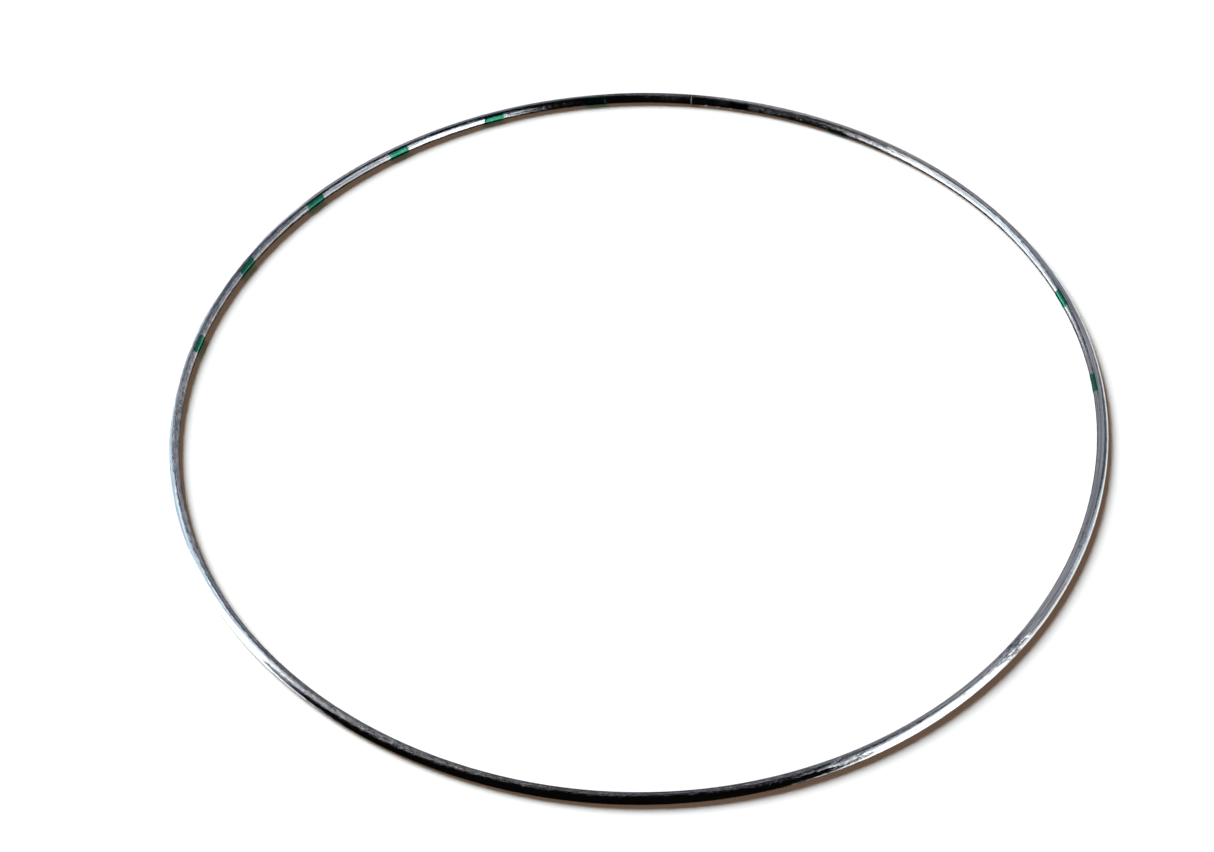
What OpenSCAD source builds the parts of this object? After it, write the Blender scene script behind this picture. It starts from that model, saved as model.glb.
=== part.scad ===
// Floral wreath frame: one length of round steel wire, rolled into a hoop and butt welded
// into a closed ring. The hoop lies flat on Z = 0 with its centre over the origin, and the
// weld is at +Y. Places along the wire are distances from the weld, on the wire's centre
// line: plus on the weld's +X side and minus on its -X side.

/* [Hoop] */
// Diameter of the hoop, measured to the middle of the wire
hoop_d = 250; // [150:5:400]
// Diameter of the wire
wire_d = 3; // [2:0.1:5]

/* [Weld bead] */
// Width of the bead, along the wire
bead_w = 0.8; // [0.4:0.1:2]
// How far the bead stands out from the wire
bead_h = 0.1; // [0.05:0.05:0.3]

/* [Weld flash] */
// Diameter of the drop of flash nearest the weld
drop_d = 0.9; // [0.4:0.1:1.2]
// Size of each drop, as a share of the one before it
drop_shrink = 0.9; // [0.7:0.05:1]
// Number of drops left beside the weld
drop_count = 4; // [1:1:5]
// Distance from the weld to the first drop
drop_first = 4.8; // [2.5:0.1:8]
// Distance from one drop to the next
drop_pitch = 3.8; // [1.5:0.1:5]
// Angle of the drops below the wire's inner side
drop_low = 38; // [0:1:50]

/* [Lacquer marks] */
// Length of a mark, along the wire
mark_l = 6.5; // [3:0.5:12]
// Thickness of the lacquer
mark_t = 0.05; // [0.03:0.01:0.1]
// How far the lacquer goes round the wire's inner side, in degrees
mark_wrap = 144; // [60:2:160]
// Distance from one mark to the next
mark_pitch = 32.2; // [15:0.1:36]
// Distance from the weld to the first mark on its -X side
mark_first_left = 30; // [10:1:50]
// Distance from the weld to the first mark on its +X side
mark_first_right = 14.8; // [8:0.2:50]
// Number of marks on each side of the weld
marks_a_side = 6; // [1:1:6]
// Which marks on the +X side have rubbed off, counted from the weld: [first, last]
rubbed_off = [3, 4];

/* [Hidden] */
$fn = 96;
hoop_r = hoop_d / 2;
wire_r = wire_d / 2;
weld_angle = 90;

drop_places = [for (i = [0 : drop_count - 1]) drop_first + i * drop_pitch];
mark_places = concat(
    [for (i = [1 : marks_a_side]) -(mark_first_left + (i - 1) * mark_pitch)],
    [for (i = [1 : marks_a_side])
        if (i < rubbed_off[0] || i > rubbed_off[1]) mark_first_right + (i - 1) * mark_pitch]
);

// The angle that a distance along the wire takes up on the hoop
function turn(distance) = distance / hoop_r * 180 / PI;

// A stretch of round wire, bent to the hoop and centred on a place along it
module wire_stretch(place, length) {
    translate([0, 0, wire_r])
        rotate([0, 0, weld_angle - turn(place + length / 2)])
            rotate_extrude(angle = turn(length))
                translate([hoop_r, 0])
                    circle(r = wire_r);
}

// The wire, with its two square ends facing each other across the weld bead
module hoop_wire() {
    block = 2 * wire_d;
    color("silver")
        difference() {
            translate([0, 0, wire_r])
                rotate_extrude($fn = 256)
                    translate([hoop_r, 0])
                        circle(r = wire_r);
            translate([-bead_w / 2, hoop_r - block / 2, wire_r - block / 2])
                cube([bead_w, block, block]);
        }
}

// The metal that melted between the ends: a disc with a crowned rim, dressed flat
// underneath so that the hoop lies flat
module weld_bead() {
    crown_r = (bead_h * bead_h + bead_w * bead_w / 4) / (2 * bead_h);
    rim_r = wire_r + bead_h;
    color("gainsboro")
        intersection() {
            translate([0, hoop_r, wire_r])
                rotate([0, 90, 0])
                    rotate_extrude() {
                        translate([0, -bead_w / 2])
                            square([wire_r, bead_w]);
                        intersection() {
                            translate([rim_r - crown_r, 0])
                                circle(r = crown_r);
                            translate([0, -bead_w / 2])
                                square([rim_r, bead_w]);
                        }
                    }
            translate([-bead_w, hoop_r - wire_d, 0])
                cube([2 * bead_w, 2 * wire_d, 2 * wire_d]);
        }
}

// A round drop, sunk into the wire's low inner side by a third of its radius
module whole_drop(i) {
    drop_r = drop_d / 2 * pow(drop_shrink, i);
    rotate([0, 0, weld_angle - turn(drop_places[i])])
        translate([hoop_r, 0, wire_r])
            rotate([0, -drop_low, 0])
                translate([drop_r / 3 - wire_r, 0, 0])
                    sphere(r = drop_r);
}

// What stands out of the wire of the drops that the weld spat along it
module flash_drops() {
    bed_l = 1.2 * drop_d;
    color("dimgray")
        for (i = [0 : drop_count - 1])
            difference() {
                whole_drop(i);
                wire_stretch(drop_places[i], bed_l);
            }
}

// One dab of lacquer on the inner side of the wire, centred on a place along it
module lacquer_mark(place) {
    half = mark_wrap / 2;
    translate([0, 0, wire_r])
        rotate([0, 0, weld_angle - turn(place + mark_l / 2)])
            rotate_extrude(angle = turn(mark_l))
                translate([hoop_r, 0])
                    intersection() {
                        difference() {
                            circle(r = wire_r + mark_t);
                            circle(r = wire_r);
                        }
                        polygon([[0, 0], wire_d * [-1, tan(half)], wire_d * [-1, -tan(half)]]);
                    }
}

// The row of green dabs, which stop short of any drop of flash
module lacquer_marks() {
    color("seagreen")
        difference() {
            for (place = mark_places)
                lacquer_mark(place);
            for (i = [0 : drop_count - 1])
                whole_drop(i);
        }
}

hoop_wire();
weld_bead();
flash_drops();
lacquer_marks();
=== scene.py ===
import math

import bpy
import numpy as np
from mathutils import Euler, Matrix, Vector, noise


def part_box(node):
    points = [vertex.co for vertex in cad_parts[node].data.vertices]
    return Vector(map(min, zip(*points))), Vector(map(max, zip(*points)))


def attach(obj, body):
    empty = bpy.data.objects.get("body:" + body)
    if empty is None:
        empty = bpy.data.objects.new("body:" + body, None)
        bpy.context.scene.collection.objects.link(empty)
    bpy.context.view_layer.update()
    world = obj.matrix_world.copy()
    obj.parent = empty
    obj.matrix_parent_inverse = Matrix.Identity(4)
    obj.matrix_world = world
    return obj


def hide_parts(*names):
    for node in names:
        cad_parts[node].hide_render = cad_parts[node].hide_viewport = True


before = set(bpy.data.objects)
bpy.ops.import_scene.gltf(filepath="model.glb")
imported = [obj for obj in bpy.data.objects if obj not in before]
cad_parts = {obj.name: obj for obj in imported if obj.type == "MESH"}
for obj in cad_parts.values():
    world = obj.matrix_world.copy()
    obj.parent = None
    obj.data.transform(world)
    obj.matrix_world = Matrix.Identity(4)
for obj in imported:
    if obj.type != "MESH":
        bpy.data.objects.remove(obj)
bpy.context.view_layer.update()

# ------------------------------------------------------------------ hoop wire
# One length of round mild steel wire, drawn through a die and bright zinc plated, then rolled
# into a hoop and cut square where its ends meet. A hoop this light is never quite round, and
# it has dings and scuffs from the other hoops that it was packed with.
MM = 0.001
hoop_low, hoop_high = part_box("hoop_wire")
bead_low, bead_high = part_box("weld_bead")
WIRE_R = (hoop_high.z - hoop_low.z) / 2
HOOP_R = (hoop_high.x - hoop_low.x) / 2 - WIRE_R
BEAD_W = bead_high.x - bead_low.x
HOOP_L = 2 * math.pi * HOOP_R
WELD_TURN = math.radians(90)
# Each way the hoop is out of round: how many lobes, how high, and where one of them points
OUT_OF_ROUND = [(3, 0.36 * MM, 51), (4, 0.25 * MM, 26)]
# Each ding: millimetres along the wire from the weld, degrees round it, length, width, depth
DINGS = [
    (64.6, 128, 1.6, 0.7, 0.10), (118.5, 122, 1.0, 0.6, 0.08), (231.0, 100, 0.9, 0.9, 0.08),
    (269.0, 60, 1.2, 0.8, 0.05), (272.5, 35, 1.5, 1.2, 0.07), (276.0, 80, 1.0, 0.6, 0.05),
    (325.0, 50, 0.8, 0.9, 0.04), (403.0, 70, 0.7, 1.0, 0.07), (428.0, 110, 1.4, 0.6, 0.08),
    (455.0, 140, 1.2, 0.7, 0.07), (484.0, 120, 1.0, 0.5, 0.06), (531.0, 95, 1.3, 0.6, 0.06),
]
# Each scuffed stretch: millimetres along, degrees round, half its length and width, and how bad
SCUFFED = [
    (20, 150, 13, 9, 0.5), (64, 130, 4, 1.5, 0.5), (231, 90, 5, 1.5, 0.5), (272, 70, 5, 9, 1.0),
    (325, 80, 5, 1.5, 0.7), (350, 120, 20, 1.4, 0.7), (384, 120, 10, 1.4, 0.9),
    (401, 120, 6, 1.4, 0.8), (432, 115, 24, 1.3, 1.0), (475, 150, 26, 1.0, 0.9),
    (525, 155, 24, 0.9, 0.9), (568, 140, 22, 1.3, 0.8), (610, 125, 30, 1.3, 0.6),
    (777, 150, 8, 9, 0.4),
]


def on_wire(along, around, out):
    """The point at a distance along the wire from the weld, an angle round it and a distance
    out from its middle. The angle is 0 on the hoop's outer side and a quarter turn on top."""
    turn = WELD_TURN - along / HOOP_R
    reach = HOOP_R + out * np.cos(around)
    for lobes, height, points in OUT_OF_ROUND:
        reach = reach + height * np.cos(lobes * (turn - math.radians(points)))
    up = WIRE_R + out * np.sin(around)
    return np.stack(np.broadcast_arrays(reach * np.cos(turn), reach * np.sin(turn), up), -1)


def bump_at(along, around, place, round_at, length, width):
    """A smooth bump of height 1, as long and as wide as it says, at one place on the wire."""
    off_along = (along - place * MM) / (length * MM)
    off_around = (np.mod(around - math.radians(round_at) + math.pi, 2 * math.pi) - math.pi)
    return np.exp(-off_along ** 2 - (off_around * WIRE_R / (width * MM)) ** 2)


def mesh_piece(name, points, faces, material):
    """A mesh object of these points and faces, smooth except at its sharp edges."""
    mesh = bpy.data.meshes.new(name)
    mesh.from_pydata([tuple(p) for p in points], [], faces)
    mesh.materials.append(material)
    mesh.shade_smooth()
    sharp_edge = math.radians(50)
    mesh.set_sharp_from_angle(angle=sharp_edge)
    piece = bpy.data.objects.new(name, mesh)
    bpy.context.scene.collection.objects.link(piece)
    return piece


def tube_faces(steps, sides):
    """The faces of a tube of rings, with a fan at each end round one of two last points."""
    faces = []
    for i in range(steps):
        for j in range(sides):
            a, b = i * sides + j, i * sides + (j + 1) % sides
            faces.append((a, a + sides, b + sides, b))
    last, centre = steps * sides, (steps + 1) * sides
    for j in range(sides):
        k = (j + 1) % sides
        faces.append((j, k, centre))
        faces.append((last + k, last + j, centre + 1))
    return faces


def linear(code):
    """The linear colour of an sRGB hex code."""
    parts = [int(code[i:i + 2], 16) / 255 for i in (1, 3, 5)]
    return [p / 12.92 if p <= 0.04045 else ((p + 0.055) / 1.055) ** 2.4 for p in parts] + [1]


def add(tree, kind, inputs=None, **settings):
    """Adds a node with its settings, and sets or links its inputs, which go by name or number."""
    made = tree.nodes.new(kind)
    for name, value in settings.items():
        setattr(made, name, value)
    for name, value in (inputs or {}).items():
        if isinstance(value, bpy.types.NodeSocket):
            tree.links.new(value, made.inputs[name])
        else:
            made.inputs[name].default_value = value
    return made


def bright_zinc_plate():
    """Bright zinc over drawn steel wire: a clean cool grey mirror with fine lines along it from
    the die, and dull pitted patches with dark specks where it has been knocked about."""
    material = bpy.data.materials.new("bright_zinc_plated_drawn_steel_wire")
    material.use_nodes = True
    tree = material.node_tree
    straight = add(tree, "ShaderNodeAttribute", attribute_name="straight").outputs["Vector"]
    wear = add(tree, "ShaderNodeAttribute", attribute_name="wear").outputs["Fac"]
    heat = add(tree, "ShaderNodeAttribute", attribute_name="heat").outputs["Fac"]
    # Real die lines are 0.02 to 0.1 mm wide: drawn 0.3 mm wide, so that they show
    along = add(tree, "ShaderNodeMapping", {"Vector": straight, "Scale": (0.012, 1, 1)}).outputs[0]
    lines = add(tree, "ShaderNodeTexNoise",
                {"Vector": along, "Scale": 3.2, "Detail": 3, "Roughness": 0.6}).outputs["Fac"]
    # Scuffs are patches 1 to 3 mm long, with pits 0.2 to 0.3 mm across in them
    patchy = add(tree, "ShaderNodeMapping", {"Vector": straight, "Scale": (0.45, 1, 1)}).outputs[0]
    patch = add(tree, "ShaderNodeTexNoise",
                {"Vector": patchy, "Scale": 1.1, "Detail": 4, "Roughness": 0.65}).outputs["Fac"]
    scuff = add(tree, "ShaderNodeMapRange",
                {"Value": patch, "From Min": 0.44, "From Max": 0.60}).outputs[0]
    worn = add(tree, "ShaderNodeMath", {0: scuff, 1: wear}, operation="MULTIPLY").outputs[0]
    pit = add(tree, "ShaderNodeTexNoise",
              {"Vector": straight, "Scale": 3.6, "Detail": 2, "Roughness": 0.5}).outputs["Fac"]
    pits = add(tree, "ShaderNodeMapRange",
               {"Value": pit, "From Min": 0.56, "From Max": 0.66}).outputs[0]
    dark = add(tree, "ShaderNodeMath", {0: pits, 1: worn}, operation="MULTIPLY").outputs[0]
    # Colour: clean plate, then a faint grey in the lines, dull zinc, specks and heat tint
    streak = add(tree, "ShaderNodeMapRange",
                 {"Value": lines, "From Min": 0.35, "From Max": 0.72}).outputs[0]
    clean = add(tree, "ShaderNodeMix", {0: streak, 6: linear("#E6EAEE"), 7: linear("#858B94")},
                data_type="RGBA").outputs[2]
    dull = add(tree, "ShaderNodeMix", {0: worn, 6: clean, 7: linear("#7C8088")},
               data_type="RGBA").outputs[2]
    speckled = add(tree, "ShaderNodeMix", {0: dark, 6: dull, 7: linear("#4A4542")},
                   data_type="RGBA").outputs[2]
    tinted = add(tree, "ShaderNodeMix", {0: heat, 6: speckled, 7: linear("#7A7068")},
                 data_type="RGBA").outputs[2]
    rough = add(tree, "ShaderNodeMapRange", {"Value": worn, "To Min": 0.05, "To Max": 0.17}).outputs[0]
    # The die drags the steel into low wrinkles 1 to 3 mm long, deeper where it is scuffed
    drawn = add(tree, "ShaderNodeMapping", {"Vector": straight, "Scale": (0.22, 1, 1)}).outputs[0]
    wrinkle = add(tree, "ShaderNodeTexNoise",
                  {"Vector": drawn, "Scale": 1.9, "Detail": 3, "Roughness": 0.6}).outputs["Fac"]
    deep = add(tree, "ShaderNodeMapRange", {"Value": wear, "To Min": 0.35, "To Max": 2.1}).outputs[0]
    wrinkles = add(tree, "ShaderNodeMath", {0: wrinkle, 1: deep}, operation="MULTIPLY").outputs[0]
    line_bump = add(tree, "ShaderNodeBump", {"Height": lines, "Distance": 0.03 * MM})
    wrinkle_bump = add(tree, "ShaderNodeBump", {"Height": wrinkles, "Distance": 0.19 * MM,
                                                "Normal": line_bump.outputs[0]})
    pit_bump = add(tree, "ShaderNodeBump",
                   {"Height": dark, "Distance": 0.04 * MM, "Normal": wrinkle_bump.outputs[0]},
                   invert=True)
    steel = tree.nodes["Principled BSDF"]
    steel.inputs["Metallic"].default_value = 1.0
    tree.links.new(tinted, steel.inputs["Base Color"])
    tree.links.new(rough, steel.inputs["Roughness"])
    tree.links.new(pit_bump.outputs[0], steel.inputs["Normal"])
    return material


def hoop_wire():
    """The wire from one side of the weld round to the other, with a flat cut face at each end.
    The steps are 0.5 mm along and 9 degrees round."""
    steps, sides, strips = 1570, 40, 10
    along = np.linspace(BEAD_W / 2, HOOP_L - BEAD_W / 2, steps + 1)[:, None]
    around = np.linspace(0, 2 * math.pi, sides, endpoint=False)[None, :]
    skin = np.full((steps + 1, sides), WIRE_R)
    for place, round_at, length, width, depth in DINGS:
        skin -= depth * MM * bump_at(along, around, place, round_at, length, width)
    points = on_wire(along, around, skin).reshape(-1, 3)
    ends = on_wire(np.array([along[0, 0], along[-1, 0]]), 0.0, 0.0)
    points = np.concatenate([points, ends])
    piece = mesh_piece("hoop_wire_plated", points, tube_faces(steps, sides), bright_zinc_plate())
    # Each point's wear and heat tint, and its place on the straight wire in millimetres
    wear = np.zeros((steps + 1, sides))
    for place, round_at, length, width, badly in SCUFFED:
        wear = np.maximum(wear, badly * bump_at(along, around, place, round_at, length, width))
    handled, tint, tint_reach = 0.07, 0.8, 3.5 * MM
    wear = handled + (1 - handled) * wear
    to_weld = np.minimum(along, HOOP_L - along)
    heat = tint * np.exp(-(to_weld / tint_reach) ** 2)
    flat = np.stack(np.broadcast_arrays(along, skin * np.cos(around), skin * np.sin(around)), -1) / MM
    flat = np.concatenate([flat.reshape(-1, 3), [flat[0, 0], flat[-1, 0]]])
    straight = piece.data.attributes.new("straight", "FLOAT_VECTOR", "POINT")
    straight.data.foreach_set("vector", flat.ravel())
    for name, level in (("wear", wear), ("heat", heat)):
        spread = np.broadcast_to(level, (steps + 1, sides)).ravel()
        spread = np.concatenate([spread, [spread[0], spread[-1]]])
        piece.data.attributes.new(name, "FLOAT", "POINT").data.foreach_set("value", spread)
    # The skin laid out flat as strips one above the other, with a little room between them
    layout = piece.data.uv_layers.new(name="OFBake")
    a_strip, room = steps // strips, 0.1
    cap_x, cap_y, cap_r = (0.25, 0.75), 0.955, 0.03
    corners = []
    for i in range(steps):
        for j in range(sides):
            for di, dj in ((0, 0), (1, 0), (1, 1), (0, 1)):
                u = (i % a_strip + di + room) / (a_strip + 2 * room)
                v = (i // a_strip + room / 2 + (1 - room) * (j + dj) / sides) / (strips + 1)
                corners += [u, v]
    for end in range(2):
        for j in range(sides):
            for k in ((j, j + 1), (j + 1, j))[end]:
                turn = 2 * math.pi * k / sides
                corners += [cap_x[end] + cap_r * math.cos(turn), cap_y + cap_r * math.sin(turn)]
            corners += [cap_x[end], cap_y]
    layout.data.foreach_set("uv", corners)
    return piece


hoop = hoop_wire()
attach(hoop, "root")
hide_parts("hoop_wire")

# ------------------------------------------------------------------ weld bead
# The steel that was squeezed out where the two ends were butt welded, ground back to a low
# rippled collar. Grinding took the zinc off, so it is bare bright steel.
BEAD_OUT = bead_high.z / 2 - WIRE_R


def ground_steel():
    """Bare mild steel, ground by hand: bright, with short grinding lines that spread the light,
    and near-black at the foot of the bead, partly scale where the wheel didn't reach and partly painted
    shade."""
    material = bpy.data.materials.new("ground_mild_steel")
    material.use_nodes = True
    tree = material.node_tree
    place = add(tree, "ShaderNodeTexCoord").outputs["Object"]
    crown = add(tree, "ShaderNodeAttribute", attribute_name="crown").outputs["Fac"]
    # Grinding lines are 0.1 mm wide and run round the wire
    fine = add(tree, "ShaderNodeMapping", {"Vector": place, "Scale": (10000, 700, 700)}).outputs[0]
    lines = add(tree, "ShaderNodeTexNoise", {"Vector": fine, "Scale": 1, "Detail": 3}).outputs["Fac"]
    bright = add(tree, "ShaderNodeMix", {0: lines, 6: linear("#F4EEE6"), 7: linear("#C9C2BA")},
                 data_type="RGBA").outputs[2]
    # Near-black foot, partly scale and partly painted shade, up to the bright ground crown
    colour = add(tree, "ShaderNodeMix", {0: crown, 6: linear("#3A3532"), 7: bright},
                 data_type="RGBA").outputs[2]
    rough = add(tree, "ShaderNodeMapRange", {"Value": lines, "To Min": 0.45, "To Max": 0.6}).outputs[0]
    bump = add(tree, "ShaderNodeBump", {"Height": lines, "Distance": 0.01 * MM}).outputs[0]
    steel = tree.nodes["Principled BSDF"]
    steel.inputs["Metallic"].default_value = 1.0
    tree.links.new(colour, steel.inputs["Base Color"])
    tree.links.new(rough, steel.inputs["Roughness"])
    tree.links.new(bump, steel.inputs["Normal"])
    return material


def weld_bead():
    """A collar with a crowned, slightly uneven rim, dressed flat where the hoop lies on it."""
    sides, steps = 96, 12
    along = np.linspace(-BEAD_W / 2, BEAD_W / 2, steps + 1)[:, None]
    around = np.linspace(0, 2 * math.pi, sides, endpoint=False)[None, :]
    across = 2 * along / BEAD_W
    # A low swell as wide as the bead, with a sharper rim along its middle
    swell, rim_w = 0.35, 0.3
    crown = swell * (1 - across ** 2) + (1 - swell) * np.exp(-(across / rim_w) ** 2)
    # The rim's height wavers by up to a quarter each way as it goes round
    ripple = 0.75 + 0.15 * np.sin(5 * around + 1) + 0.1 * np.sin(11 * around + 2500 * along)
    points = on_wire(along, around, WIRE_R + BEAD_OUT * crown * ripple).reshape(-1, 3)
    points = np.concatenate([points, on_wire(along[[0, -1], 0], 0.0, 0.0)])
    points[:, 2] = np.maximum(points[:, 2], 0)
    piece = mesh_piece("weld_bead_ground", points, tube_faces(steps, sides), ground_steel())
    # What stands above two fifths of the crown is bright, where the wheel reached; below it the foot is
    # near-black, partly scale and partly painted shade that keeps it from showing reflections
    bright_crown = np.broadcast_to(np.clip(2 * (crown - 0.4), 0, 1), (steps + 1, sides)).ravel()
    piece.data.attributes.new("crown", "FLOAT", "POINT").data.foreach_set(
        "value", np.concatenate([bright_crown, [0, 0]]))
    return piece


bead = weld_bead()
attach(bead, "root")
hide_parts("weld_bead")

# ---------------------------------------------------------------- flash drops
# Drops of steel that the weld spat along the wire and that froze on its low inner side, each
# a little smaller and further off than the one before. Burning off the plate left them black
# in their hollows, and their tips are pale: partly zinc ash, partly painted glint.
DROP_R, DROP_SHRINK, DROP_COUNT = 0.45 * MM, 0.9, 4
DROP_FIRST, DROP_PITCH, DROP_ROUND = 4.8 * MM, 3.8 * MM, math.radians(180 + 38)


def burnt_flash():
    """Steel that froze in the air: rough, black with scale in its hollows, and pale and chalky on
    its tips, partly zinc ash and partly painted glint."""
    material = bpy.data.materials.new("burnt_steel_weld_flash")
    material.use_nodes = True
    tree = material.node_tree
    place = add(tree, "ShaderNodeTexCoord").outputs["Object"]
    crust = add(tree, "ShaderNodeTexNoise", {"Vector": place, "Scale": 4500, "Detail": 3}).outputs["Fac"]
    # Pale tips: partly zinc ash, partly painted glint standing in for the lumps' small reflections
    ash_and_glint = add(tree, "ShaderNodeMapRange",
              {"Value": crust, "From Min": 0.44, "From Max": 0.54}).outputs[0]
    colour = add(tree, "ShaderNodeMix", {0: ash_and_glint, 6: linear("#3A322E"), 7: linear("#E4DDE6")},
                 data_type="RGBA").outputs[2]
    rough = add(tree, "ShaderNodeMapRange", {"Value": ash_and_glint, "To Min": 0.3, "To Max": 0.6}).outputs[0]
    bump = add(tree, "ShaderNodeBump", {"Height": crust, "Distance": 0.12 * MM}).outputs[0]
    steel = tree.nodes["Principled BSDF"]
    steel.inputs["Metallic"].default_value = 0.4
    tree.links.new(colour, steel.inputs["Base Color"])
    tree.links.new(rough, steel.inputs["Roughness"])
    tree.links.new(bump, steel.inputs["Normal"])
    return material


def flash_drop(i, material):
    """A lumpy drop, drawn out a little along the wire and sunk into it by a third."""
    drop_r = DROP_R * DROP_SHRINK ** i
    along = DROP_FIRST + i * DROP_PITCH
    size, lumpy, drawn_out = 0.98, 0.18, 0.35
    middle = Vector(on_wire(along, DROP_ROUND, WIRE_R - drop_r / 3))
    ahead = Vector(on_wire(along + MM, DROP_ROUND, WIRE_R - drop_r / 3)) - middle
    ahead.normalize()
    bpy.ops.mesh.primitive_ico_sphere_add(subdivisions=5, radius=drop_r)
    drop = bpy.context.object
    drop.name = drop.data.name = f"flash_drop_{i + 1}"
    for point in drop.data.vertices:
        lump = noise.fractal(point.co / drop_r * 1.3 + Vector((7 * i, 0, 0)), 0.8, 2.0, 3)
        point.co *= size + lumpy * lump
        point.co += ahead * point.co.dot(ahead) * drawn_out
    drop.data.transform(Matrix.Translation(middle))
    drop.data.materials.append(material)
    drop.data.shade_smooth()
    return drop


flash = burnt_flash()
for i in range(DROP_COUNT):
    drop = flash_drop(i, flash)
    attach(drop, "root")
    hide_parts("flash_drops")

# -------------------------------------------------------------- lacquer marks
# Dabs of thin green lacquer, brushed or rolled across the inner side of the wire at an even
# pitch while it was still a coil. The plate shines through, and they are rubbed at the edges.
MARK_L, MARK_T, MARK_PITCH = 6.5 * MM, 0.05 * MM, 32.2 * MM
MARK_PLACES = [-30 * MM - i * MARK_PITCH for i in range(6)]
MARK_PLACES += [14.8 * MM + i * MARK_PITCH for i in (0, 1, 4, 5)]
# How far each mark's green is darkened with painted shade, standing in for the dark reflection round the
# weld: the two on its +X side that are nearest to it
PAINTED_SHADE_ON_MARKS = {7: 0.85, 8: 0.7}
# Where each mark starts and ends round the wire, in degrees, and where rubbing has cut it back
MARK_EDGES, RUBBED_EDGES = (108, 252), {7: (120, 205), 8: (160, 252)}


def green_lacquer():
    """Clear green lacquer over bright plate: the metal's shine comes back green, under a thin hard
    gloss, and bare plate shows in the rubbed specks. Two marks near the weld are painted darker, as
    painted shade."""
    material = bpy.data.materials.new("clear_green_lacquer_on_plate")
    material.use_nodes = True
    tree = material.node_tree
    straight = add(tree, "ShaderNodeAttribute", attribute_name="straight").outputs["Vector"]
    # Rubbed specks are 0.2 to 0.6 mm across
    rub = add(tree, "ShaderNodeTexNoise",
              {"Vector": straight, "Scale": 2.2, "Detail": 4, "Roughness": 0.6}).outputs["Fac"]
    rubbed = add(tree, "ShaderNodeMapRange",
                 {"Value": rub, "From Min": 0.62, "From Max": 0.70}).outputs[0]
    depth = add(tree, "ShaderNodeTexNoise", {"Vector": straight, "Scale": 0.7}).outputs["Fac"]
    green = add(tree, "ShaderNodeMix", {0: depth, 6: linear("#146B50"), 7: linear("#229074")},
                data_type="RGBA").outputs[2]
    painted_shade = add(tree, "ShaderNodeAttribute", attribute_name="painted_shade").outputs["Fac"]
    # Painted shade: the green turns dark blue-grey on the marks that lie in the dark reflection by the
    # weld
    shaded_green = add(tree, "ShaderNodeMix", {0: painted_shade, 6: green, 7: linear("#1C2A34")},
                  data_type="RGBA").outputs[2]
    colour = add(tree, "ShaderNodeMix", {0: rubbed, 6: shaded_green, 7: linear("#C2C7CC")},
                 data_type="RGBA").outputs[2]
    rough = add(tree, "ShaderNodeMapRange",
                {"Value": depth, "To Min": 0.10, "To Max": 0.22}).outputs[0]
    bump = add(tree, "ShaderNodeBump", {"Height": depth, "Distance": 0.03 * MM}).outputs[0]
    film = tree.nodes["Principled BSDF"]
    film.inputs["Metallic"].default_value = 1.0
    film.inputs["Coat Weight"].default_value = 0.3
    film.inputs["Coat Roughness"].default_value = 0.08
    tree.links.new(colour, film.inputs["Base Color"])
    tree.links.new(rough, film.inputs["Roughness"])
    tree.links.new(bump, film.inputs["Normal"])
    return material


def lacquer_mark(number, place, material):
    """A closed film over the wire's inner side, thin at its edges, with ragged slanting ends."""
    steps, sides = 40, 40
    down = np.linspace(-1, 1, sides + 1)[None, :]
    across = np.linspace(-1, 1, steps + 1)[:, None]
    ragged = np.zeros((2, sides + 1))
    for end in range(2):
        for j in range(sides + 1):
            ragged[end, j] = noise.fractal((3.1 * number + 50 * end, 0.35 * j, 0), 0.9, 2.0, 4)
    # The ends wander and slant by up to about half a millimetre
    wander, slant = 0.45, 0.5 * math.sin(2.4 * number)
    low_end = -MARK_L / 2 + (wander * ragged[0] + slant * down[0]) * MM
    high_end = MARK_L / 2 + (wander * ragged[1] + slant * down[0]) * MM
    along = place + low_end + (high_end - low_end) * (across + 1) / 2
    start, stop = np.radians(RUBBED_EDGES.get(number, MARK_EDGES))
    around = np.broadcast_to(start + (stop - start) * (down + 1) / 2, along.shape)
    edge = (1 - across ** 12) * (1 - down ** 12)
    skins = [WIRE_R + MARK_T * edge, WIRE_R - 0.3 * MARK_T + 0 * edge]
    points = np.concatenate([on_wire(along, around, skin).reshape(-1, 3) for skin in skins])
    row, sheet = sides + 1, (steps + 1) * (sides + 1)
    faces = []
    for i in range(steps):
        for j in range(sides):
            a = i * row + j
            faces.append((a, a + row, a + row + 1, a + 1))
            faces.append((a + sheet, a + sheet + 1, a + sheet + row + 1, a + sheet + row))
    rim = [j for j in range(sides)] + [i * row + sides for i in range(steps)]
    rim += [steps * row + j for j in range(sides, 0, -1)] + [i * row for i in range(steps, 0, -1)]
    for a, b in zip(rim, rim[1:] + rim[:1]):
        faces.append((a, b, b + sheet, a + sheet))
    mark = mesh_piece(f"lacquer_mark_{number}", points, faces, material)
    flat = np.stack([along + number * 20 * MM, WIRE_R * np.cos(around), WIRE_R * np.sin(around)], -1)
    flat = np.concatenate([flat.reshape(-1, 3)] * 2) / MM
    straight = mark.data.attributes.new("straight", "FLOAT_VECTOR", "POINT")
    straight.data.foreach_set("vector", flat.ravel())
    # Painted shade: how far this mark's green is darkened
    painted_shade = mark.data.attributes.new("painted_shade", "FLOAT", "POINT")
    painted_shade.data.foreach_set("value", [PAINTED_SHADE_ON_MARKS.get(number, 0.0)] * len(points))
    return mark


lacquer = green_lacquer()
for number, place in enumerate(MARK_PLACES, 1):
    mark = lacquer_mark(number, place, lacquer)
    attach(mark, "root")
    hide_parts("lacquer_marks")

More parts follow.
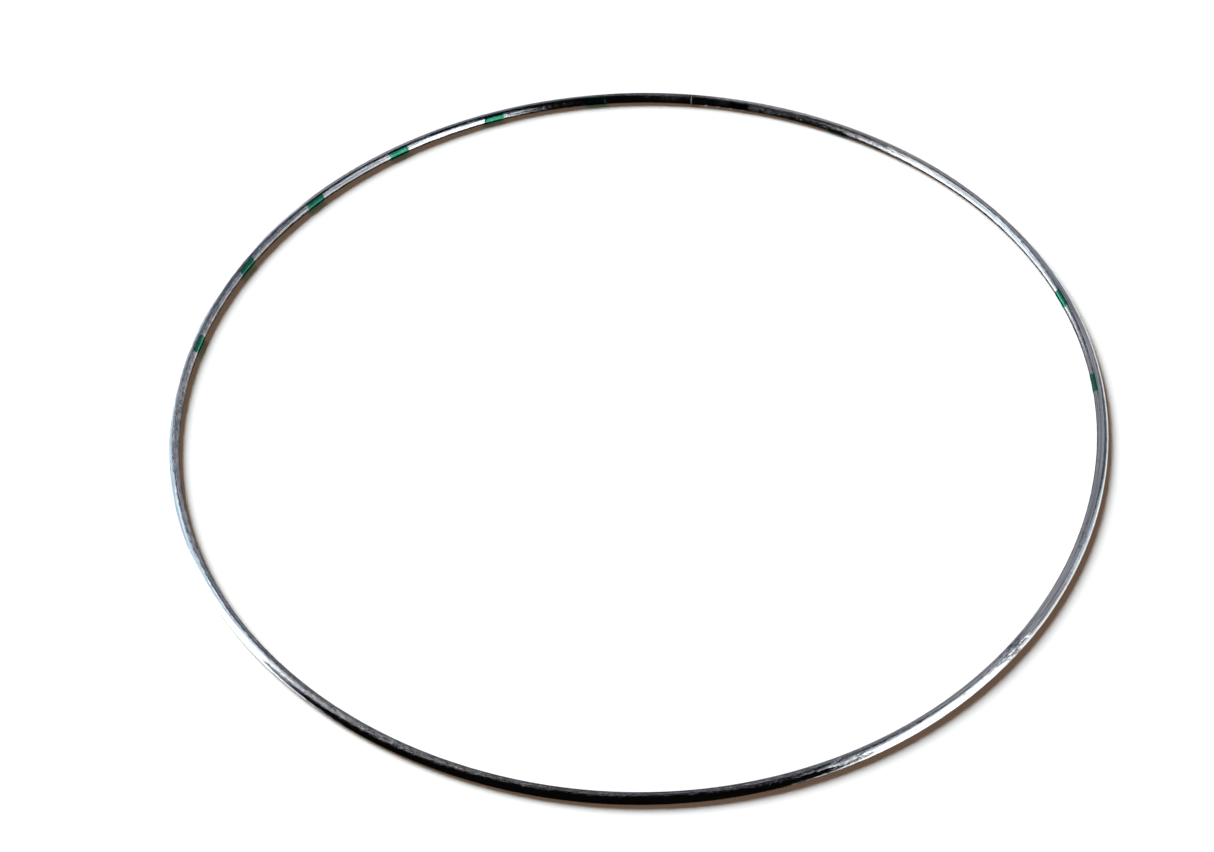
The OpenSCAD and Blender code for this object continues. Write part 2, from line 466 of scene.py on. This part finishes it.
# ---------------------------------------------------------------------- studio
# A white table with a broad lamp from the back left and a warm fill overhead, and light cards
# round the hoop that only show as reflections in the wire. The hoop lies turned on the table,
# so all of it is placed by the table's back, 9 degrees round from the hoop's weld.
TABLE_TURN = math.radians(9)


def on_table(bearing, reach, height):
    """A place by its bearing, clockwise from the table's back, its reach and its height."""
    turn = math.radians(90 - bearing) + TABLE_TURN
    return Vector((reach * math.cos(turn), reach * math.sin(turn), height))


def hide_from(thing, *ways):
    """Makes an object or a lamp invisible to these kinds of ray."""
    for way in ways:
        setattr(thing, "visible_" + way, False)


def table():
    """A sheet of matt white paper, far larger than the hoop."""
    paper = bpy.data.materials.new("matt_white_paper")
    paper.use_nodes = True
    sheet = paper.node_tree.nodes["Principled BSDF"]
    sheet.inputs["Base Color"].default_value = linear("#F7F6F4")
    sheet.inputs["Roughness"].default_value = 0.9
    sheet.inputs["Specular IOR Level"].default_value = 0.1
    bpy.ops.mesh.primitive_circle_add(vertices=96, radius=4, fill_type="NGON")
    top = bpy.context.object
    top.name = "table"
    top.data.materials.append(paper)
    hide_from(top, "glossy")


def light_card(name, bearings, heights, reach, colour, strength):
    """A curved card that stands round the hoop and glows, and only shows in reflections."""
    glow = bpy.data.materials.new(name)
    glow.use_nodes = True
    tree = glow.node_tree
    tree.nodes.clear()
    light = add(tree, "ShaderNodeEmission", {"Color": linear(colour), "Strength": strength})
    add(tree, "ShaderNodeOutputMaterial", {"Surface": light.outputs[0]})
    degrees_a_facet = 4
    steps = max(1, round((bearings[1] - bearings[0]) / degrees_a_facet))
    points, faces = [], []
    for i in range(steps + 1):
        bearing = bearings[0] + (bearings[1] - bearings[0]) * i / steps
        points += [on_table(bearing, reach, height) for height in heights]
    for i in range(steps):
        faces.append((2 * i, 2 * i + 1, 2 * i + 3, 2 * i + 2))
    card = mesh_piece(name, points, faces, glow)
    hide_from(card, "camera", "diffuse", "shadow", "transmission", "volume_scatter")


def sun(name, bearing, height, width, colour, strength):
    """A lamp so far off that its light is even, as wide in the sky as it says, in degrees."""
    lamp = bpy.data.lights.new(name, "SUN")
    lamp.angle = math.radians(width)
    lamp.color = linear(colour)[:3]
    lamp.energy = strength
    holder = bpy.data.objects.new(name, lamp)
    up = math.radians(height)
    ray = on_table(bearing, math.cos(up), math.sin(up))
    holder.rotation_euler = ray.to_track_quat("Z", "Y").to_euler()
    bpy.context.scene.collection.objects.link(holder)
    hide_from(holder, "glossy")


table()
# The wire would throw the cards' light back onto the paper, and lose its warm soft shadow
hide_from(hoop, "diffuse")
sun("key_lamp", -52, 43, 36, "#F0FAFF", 5.4)
sun("overhead_fill", 0, 90, 140, "#FFC08A", 0.34)
# Grey walls, with a dark doorway between them. A card with a shorter reach hides one behind it
light_card("left_wall", (-120, -9), (-0.21, 0.41), 0.262, "#A8A6AC", 0.92)
light_card("right_wall", (9, 136), (-0.21, 0.41), 0.262, "#A8A6AC", 0.92)
light_card("far_left_wall", (-40, -2), (-0.60, 1.45), 1.0, "#A8A6AC", 0.92)
light_card("far_right_wall", (8, 40), (-0.60, 1.45), 1.0, "#A8A6AC", 0.92)
# The left window, with the sky in it, and the wall and the frame round it
light_card("left_window", (-115, -72), (-0.20, 0.165), 0.250, "#FFFFFF", 2.4)
light_card("left_window_low", (-94, -72), (-0.40, -0.20), 0.250, "#FFFFFF", 2.4)
light_card("left_window_top", (-98, -30), (0.165, 0.365), 0.252, "#E2EEF6", 1.75)
light_card("left_sky", (-93, -62), (-0.02, 0.30), 0.246, "#D6E6F0", 1.4)
light_card("left_warm_wall", (-100, -24), (0.36, 0.62), 0.254, "#B4A296", 1.4)
light_card("left_post", (-50, -28), (0.165, 0.26), 0.244, "#9AA0A6", 0.7)
light_card("left_frame", (-30, -7), (0.18, 0.35), 0.243, "#33465E", 0.65)
# What is bright below the left window
light_card("left_low", (-72, -44), (-0.26, 0.03), 0.244, "#FFFFFF", 2.4)
light_card("left_low_top", (-66, -46), (0.03, 0.165), 0.244, "#E8F0F6", 0.95)
light_card("left_low_end", (-44, -36), (-0.10, 0.06), 0.244, "#F4F6F8", 1.2)
# A pale gap in the doorway
light_card("centre_gap", (8, 17), (0.02, 0.15), 0.250, "#E6E0E4", 0.9)
# The right window, what is bright below it, and its frame
light_card("right_window", (114, 146), (-0.36, 0.23), 0.250, "#FFFFFF", 2.4)
light_card("right_window_top", (84, 128), (0.24, 0.52), 0.252, "#E6EEF2", 1.15)
light_card("right_window_end", (58, 84), (0.37, 0.54), 0.252, "#E6EEF2", 0.9)
light_card("right_low", (84, 116), (-0.26, 0.006), 0.248, "#F6F4F0", 1.4)
light_card("right_low_end", (34, 84), (-0.12, 0.005), 0.248, "#F0EEEA", 1.4)
light_card("right_frame", (62, 84), (0.015, 0.17), 0.250, "#66747C", 0.8)
light_card("right_gap", (84, 98), (0.015, 0.115), 0.246, "#C8D4DC", 1.5)

world = bpy.data.worlds.new("dark_room")
bpy.context.scene.world = world
world.use_nodes = True
tree = world.node_tree
tree.nodes.clear()
seen = add(tree, "ShaderNodeLightPath").outputs["Is Camera Ray"]
room = add(tree, "ShaderNodeBackground", {"Color": linear("#0B0A09"), "Strength": 1.0})
sweep = add(tree, "ShaderNodeBackground", {"Color": linear("#F7F6F4"), "Strength": 1.1})
both = add(tree, "ShaderNodeMixShader", {0: seen, 1: room.outputs[0], 2: sweep.outputs[0]})
add(tree, "ShaderNodeOutputWorld", {"Surface": both.outputs[0]})

# ---------------------------------------------------------------------- camera
# Hand-held over the front edge of the table, looking down at the hoop with a short telephoto.
CAMERA_REACH, CAMERA_HEIGHT = 0.3968, 0.4453
AIM_RIGHT, AIM_BACK = -0.0082, -0.0081
CAMERA_TILT = math.radians(-2.5)
lens = bpy.data.cameras.new("camera")
lens.lens = 65
lens.sensor_width = 36
camera = bpy.data.objects.new("camera", lens)
bpy.context.scene.collection.objects.link(camera)
camera.location = on_table(180, CAMERA_REACH, CAMERA_HEIGHT)
aim = on_table(90, AIM_RIGHT, 0.0) + on_table(0, AIM_BACK, 0.0)
look = (aim - camera.location).to_track_quat("-Z", "Y")
camera.rotation_euler = (look @ Euler((0, 0, CAMERA_TILT)).to_quaternion()).to_euler()
bpy.context.scene.camera = camera
bpy.context.scene.view_settings.view_transform = "Standard"
